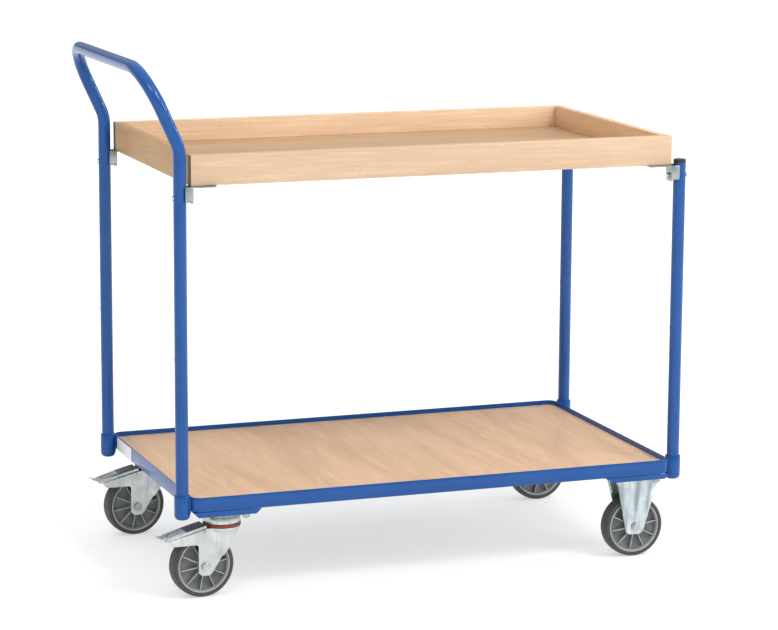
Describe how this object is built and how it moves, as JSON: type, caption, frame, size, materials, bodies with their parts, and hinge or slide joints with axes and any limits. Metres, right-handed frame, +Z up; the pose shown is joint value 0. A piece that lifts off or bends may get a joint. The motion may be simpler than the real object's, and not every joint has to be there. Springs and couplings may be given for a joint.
{
  "type": "platform trolley",
  "caption": "Table trolley with a wheeled steel deck and wooden board, bent tube push handle, raised wooden box tray, fixed wheels and braked swivel casters",
  "frame": {"origin": "on the floor, under the middle of the whole object's box", "axes": "+X along the deck away from the push handle, +Y across it from the front long side to the back one, +Z up"},
  "size_m": [1.1243, 0.6, 1.0308],
  "materials": {
    "blue_paint": "blue powder coat, satin gloss",
    "beech": "light beech-grain board, clear satin coat",
    "zinc": "bright zinc-plated pressed steel",
    "dark_steel": "dark zinc-plated pressed steel",
    "grey_plastic": "grey moulded nylon, matt",
    "tyre_rubber": "dark grey elastic tread, matt",
    "red_seal": "red moulded sealing ring",
    "black_plastic": "black moulded plastic",
    "label_film": "blank white film, satin"
  },
  "bodies": {
    "chassis": {"deck_frame": "blue_paint", "deck_board": "beech", "label_plate": "label_film", "push_handle": "blue_paint", "tray_floor": "beech", "tray_rim_front": "beech", "tray_rim_back": "beech", "tray_rim_left": "beech", "tray_rim_right": "beech", "corner_plate_front_left": "blue_paint", "corner_plate_front_right": "blue_paint", "corner_plate_back_left": "blue_paint", "corner_plate_back_right": "blue_paint", "socket_front_left": "blue_paint", "socket_front_right": "blue_paint", "socket_back_left": "blue_paint", "socket_back_right": "blue_paint", "post_front_right": "blue_paint", "post_back_right": "blue_paint", "post_cap_front_right": "black_plastic", "post_cap_back_right": "black_plastic", "tray_bracket_front_left": "zinc", "tray_bracket_front_right": "zinc", "tray_bracket_back_left": "zinc", "tray_bracket_back_right": "zinc", "bracket_bolt_front_left": "zinc", "bracket_bolt_front_right": "zinc", "bracket_bolt_back_left": "zinc", "bracket_bolt_back_right": "zinc", "fixed_fork_front_right": "zinc", "fixed_fork_back_right": "zinc", "axle_bolt_front_right": "zinc", "axle_bolt_back_right": "zinc", "swivel_head_front_left": "zinc", "swivel_head_back_left": "zinc", "kingpin_front_left": "zinc", "kingpin_back_left": "zinc"},
    "swivel_front_left": {"swivel_fork_front_left": "zinc", "swivel_seal_front_left": "red_seal", "pedal_pin_front_left": "zinc", "axle_bolt_front_left": "zinc"},
    "wheel_front_left": {"rim_front_left": "grey_plastic", "tyre_front_left": "tyre_rubber"},
    "pedal_front_left": {"brake_pedal_front_left": "dark_steel", "brake_shoe_front_left": "black_plastic"},
    "wheel_front_right": {"rim_front_right": "grey_plastic", "tyre_front_right": "tyre_rubber"},
    "swivel_back_left": {"swivel_fork_back_left": "zinc", "swivel_seal_back_left": "red_seal", "pedal_pin_back_left": "zinc", "axle_bolt_back_left": "zinc"},
    "wheel_back_left": {"rim_back_left": "grey_plastic", "tyre_back_left": "tyre_rubber"},
    "pedal_back_left": {"brake_pedal_back_left": "dark_steel", "brake_shoe_back_left": "black_plastic"},
    "wheel_back_right": {"rim_back_right": "grey_plastic", "tyre_back_right": "tyre_rubber"}
  },
  "joints": [
    {"name": "swivel_front_left_turn", "type": "hinge", "parent": "chassis", "child": "swivel_front_left", "pos_m": [-0.395, -0.247, 0.14], "axis": [0, 0, 1], "continuous": true},
    {"name": "wheel_front_left_spin", "type": "hinge", "parent": "swivel_front_left", "child": "wheel_front_left", "pos_m": [-0.43777, -0.2515, 0.0625], "axis": [-0.1045, 0.9945, 0], "continuous": true},
    {"name": "pedal_front_left_press", "type": "hinge", "parent": "swivel_front_left", "child": "pedal_front_left", "pos_m": [-0.43876, -0.2516, 0.13], "axis": [0.1045, -0.9945, 0], "range_deg": [0, 12]},
    {"name": "wheel_front_right_spin", "type": "hinge", "parent": "chassis", "child": "wheel_front_right", "pos_m": [0.4714, -0.247, 0.0625], "axis": [0, 1, 0], "continuous": true},
    {"name": "swivel_back_left_turn", "type": "hinge", "parent": "chassis", "child": "swivel_back_left", "pos_m": [-0.395, 0.247, 0.14], "axis": [0, 0, 1], "continuous": true},
    {"name": "wheel_back_left_spin", "type": "hinge", "parent": "swivel_back_left", "child": "wheel_back_left", "pos_m": [-0.43777, 0.2425, 0.0625], "axis": [-0.1045, 0.9945, 0], "continuous": true},
    {"name": "pedal_back_left_press", "type": "hinge", "parent": "swivel_back_left", "child": "pedal_back_left", "pos_m": [-0.43876, 0.2424, 0.13], "axis": [0.1045, -0.9945, 0], "range_deg": [0, 12]},
    {"name": "wheel_back_right_spin", "type": "hinge", "parent": "chassis", "child": "wheel_back_right", "pos_m": [0.4714, 0.247, 0.0625], "axis": [0, 1, 0], "continuous": true}
  ]
}
